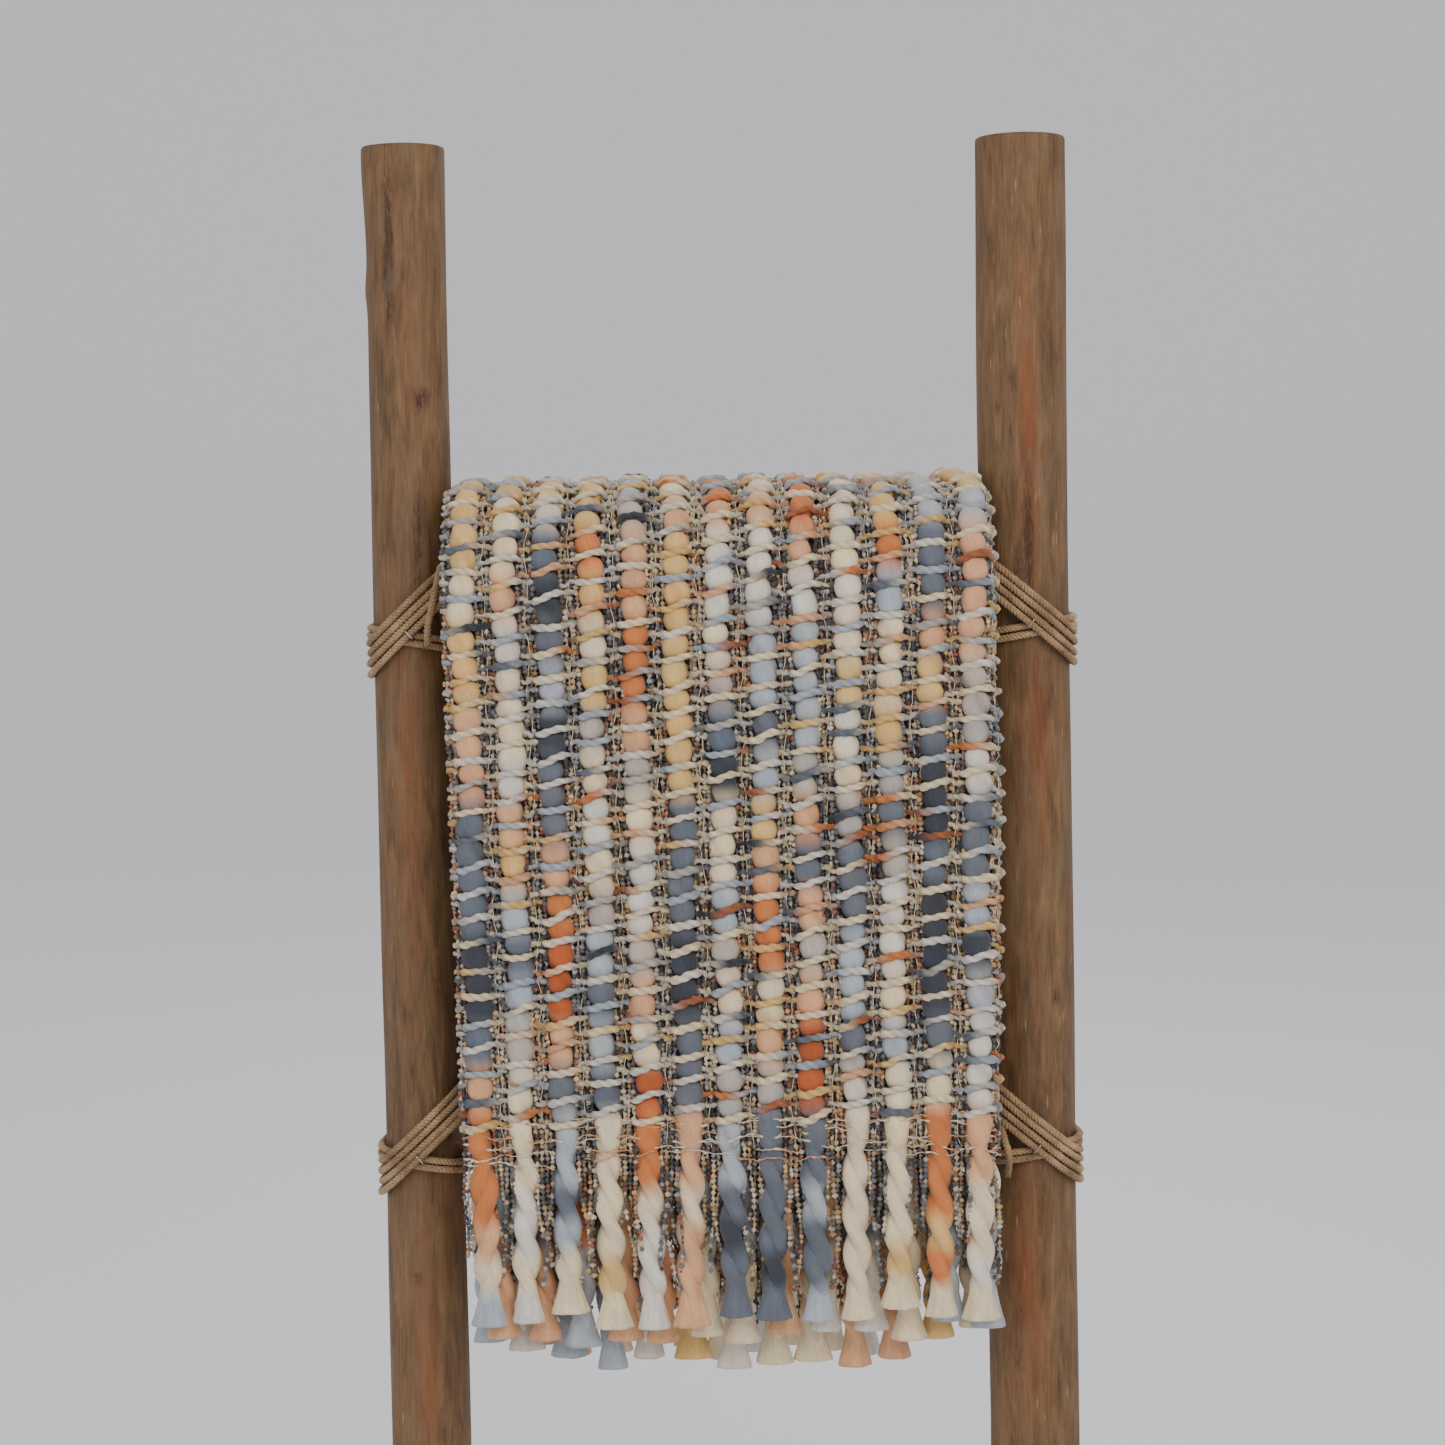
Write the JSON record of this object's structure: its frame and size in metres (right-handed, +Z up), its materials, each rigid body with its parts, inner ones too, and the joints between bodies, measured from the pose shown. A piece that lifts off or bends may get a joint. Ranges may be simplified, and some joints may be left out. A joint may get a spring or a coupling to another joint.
{
  "type": "leaning ladder rack with a folded throw",
  "caption": "Leaning display ladder of natural wooden poles with jute-lashed rungs, carrying a chunky fringed woven throw folded over its top rung.",
  "frame": {"origin": "on the floor, at the middle of the bounding box's base", "axes": "+X to the right seen from the front, +Y to the back, the way the ladder leans, +Z up"},
  "size_m": [0.5676, 0.383, 1.7785],
  "materials": {
    "pole_wood": "matte",
    "rung_wood": "matte",
    "jute": "matte",
    "staple_wire": "satin",
    "screw_steel": "satin",
    "throw_weave": "matte",
    "fringe_yarn": "matte"
  },
  "bodies": {
    "ladder": {"lashing_left_1": "jute", "lashing_left_2": "jute", "lashing_left_3": "jute", "lashing_left_4": "jute", "lashing_right_1": "jute", "lashing_right_2": "jute", "lashing_right_3": "jute", "lashing_right_4": "jute", "rung_1": "rung_wood", "rung_2": "rung_wood", "rung_3": "rung_wood", "rung_4": "rung_wood", "screw_left_1": "screw_steel", "screw_left_2": "screw_steel", "screw_left_3": "screw_steel", "screw_left_4": "screw_steel", "screw_right_1": "screw_steel", "screw_right_2": "screw_steel", "screw_right_3": "screw_steel", "screw_right_4": "screw_steel", "staple_left_1": "staple_wire", "staple_left_2": "staple_wire", "staple_left_3": "staple_wire", "staple_left_4": "staple_wire", "staple_right_1": "staple_wire", "staple_right_2": "staple_wire", "staple_right_3": "staple_wire", "staple_right_4": "staple_wire", "upright_left": "pole_wood", "upright_right": "pole_wood"},
    "throw": {"throw_body": "throw_weave", "throw_fringe_back": "fringe_yarn", "throw_fringe_front": "fringe_yarn"}
  },
  "joints": [
    {"name": "throw_lift", "type": "slide", "parent": "ladder", "child": "throw", "axis": [0, 0, 1], "range_m": [0, 0.8]}
  ]
}
